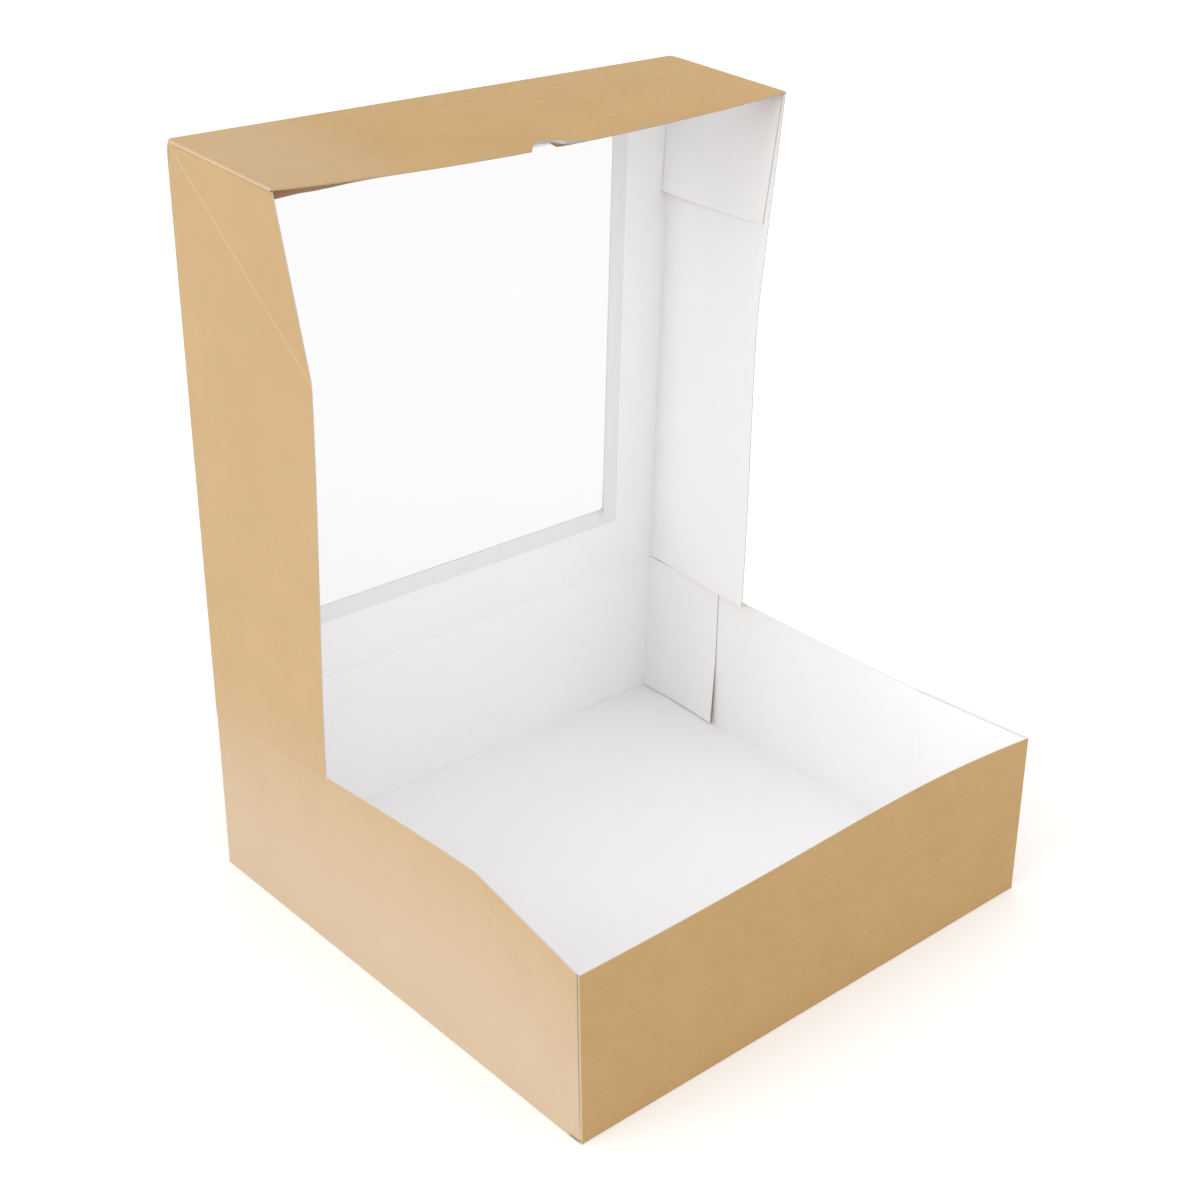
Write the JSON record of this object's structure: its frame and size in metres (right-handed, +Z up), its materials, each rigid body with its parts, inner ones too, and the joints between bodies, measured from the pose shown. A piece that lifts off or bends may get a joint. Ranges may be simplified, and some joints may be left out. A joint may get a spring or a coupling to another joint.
{
  "type": "pastry box with window",
  "caption": "Folded kraft board pastry box with a white inside, a hinged lid standing open and a clear film window in the lid.",
  "frame": {"origin": "under the middle of the tray's bottom, on the surface that the box stands on", "axes": "+Z up, -Y towards the front wall of the tray, +Y towards the hinged back, +X to the right seen from the front"},
  "size_m": [0.3014, 0.28, 0.3749],
  "materials": {
    "kraft_board": "matte brown kraft outside, smooth white lining inside",
    "clear_film": "clear glossy film, slightly wavy"
  },
  "bodies": {
    "tray": {"tray": "kraft_board"},
    "lid": {"lid": "kraft_board", "window_film": "clear_film"}
  },
  "joints": [
    {"name": "lid_hinge", "type": "hinge", "parent": "tray", "child": "lid", "pos_m": [0, 0.14, 0.08925], "axis": [1, 0, 0], "range_deg": [-90, 90]}
  ]
}
